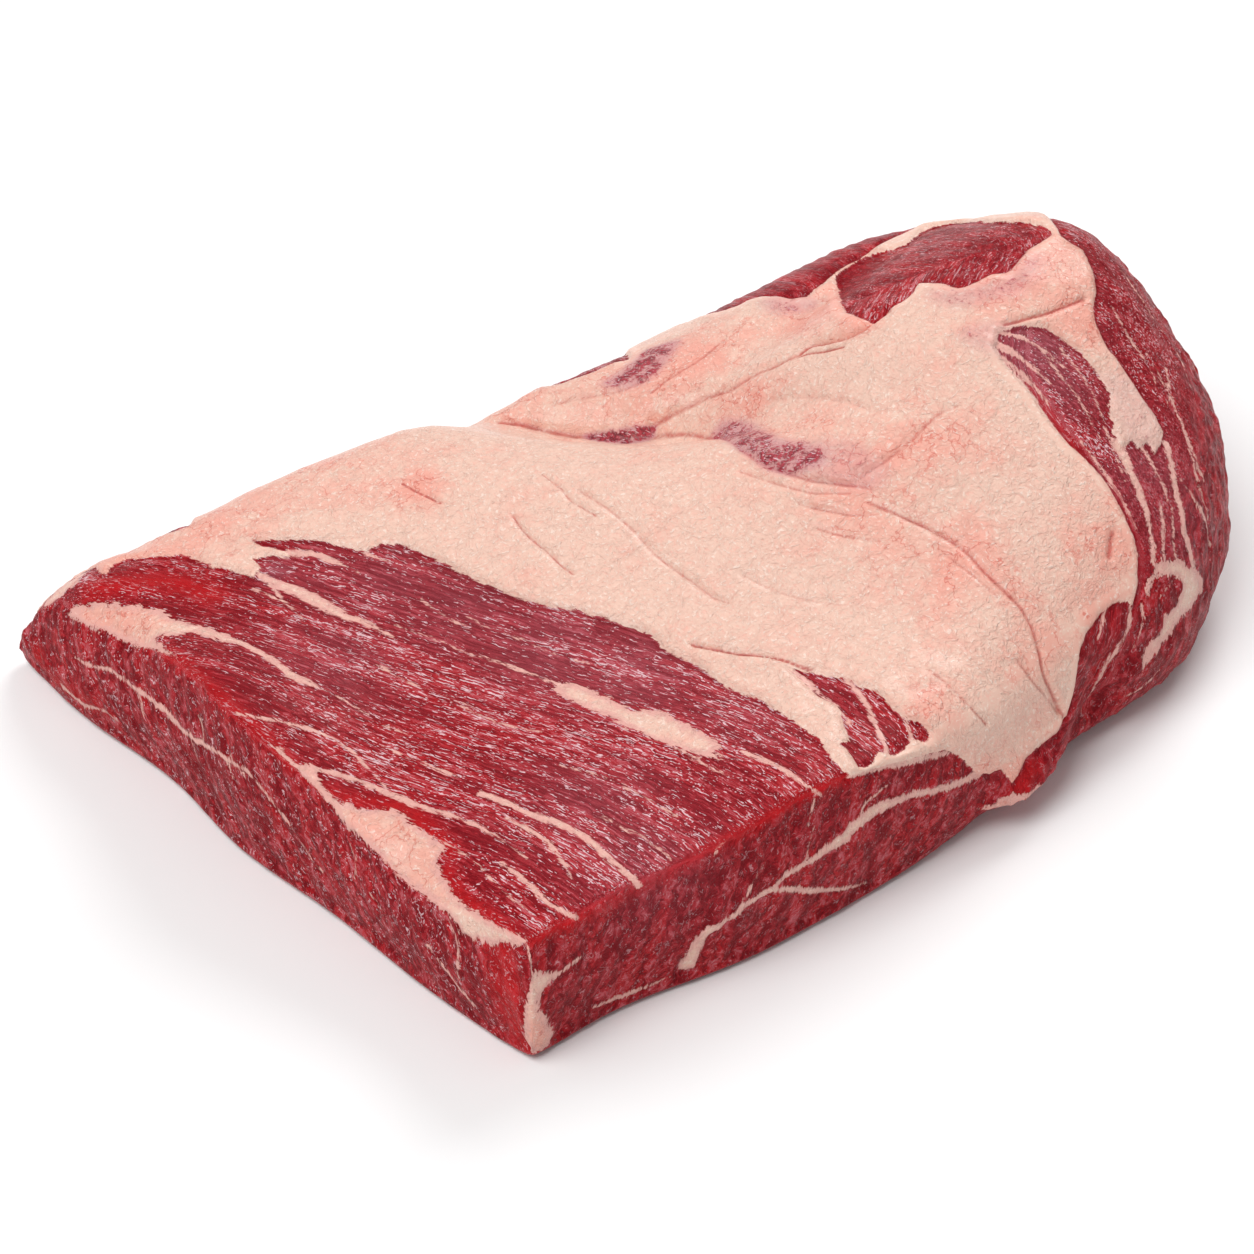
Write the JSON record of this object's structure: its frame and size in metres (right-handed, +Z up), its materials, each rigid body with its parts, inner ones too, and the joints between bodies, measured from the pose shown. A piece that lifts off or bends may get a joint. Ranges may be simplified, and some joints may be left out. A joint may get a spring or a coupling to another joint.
{
  "type": "raw beef brisket",
  "caption": "Whole raw beef brisket lying fat side up: a flat square-cut slab of lean with a fat cap that swells into a rounded thick end. Rests on its flat underside.",
  "frame": {"origin": "centre of the footprint, on the surface that the brisket rests on", "axes": "+Z up, +X along the length from the straight cut end to the rounded thick end, +Y towards the side with the rounded-off edge"},
  "size_m": [0.4264, 0.3238, 0.1289],
  "materials": {
    "raw_beef": "moist raw muscle with pale fat, semi-gloss"
  },
  "bodies": {
    "root": {"brisket": "raw_beef"}
  },
  "joints": []
}
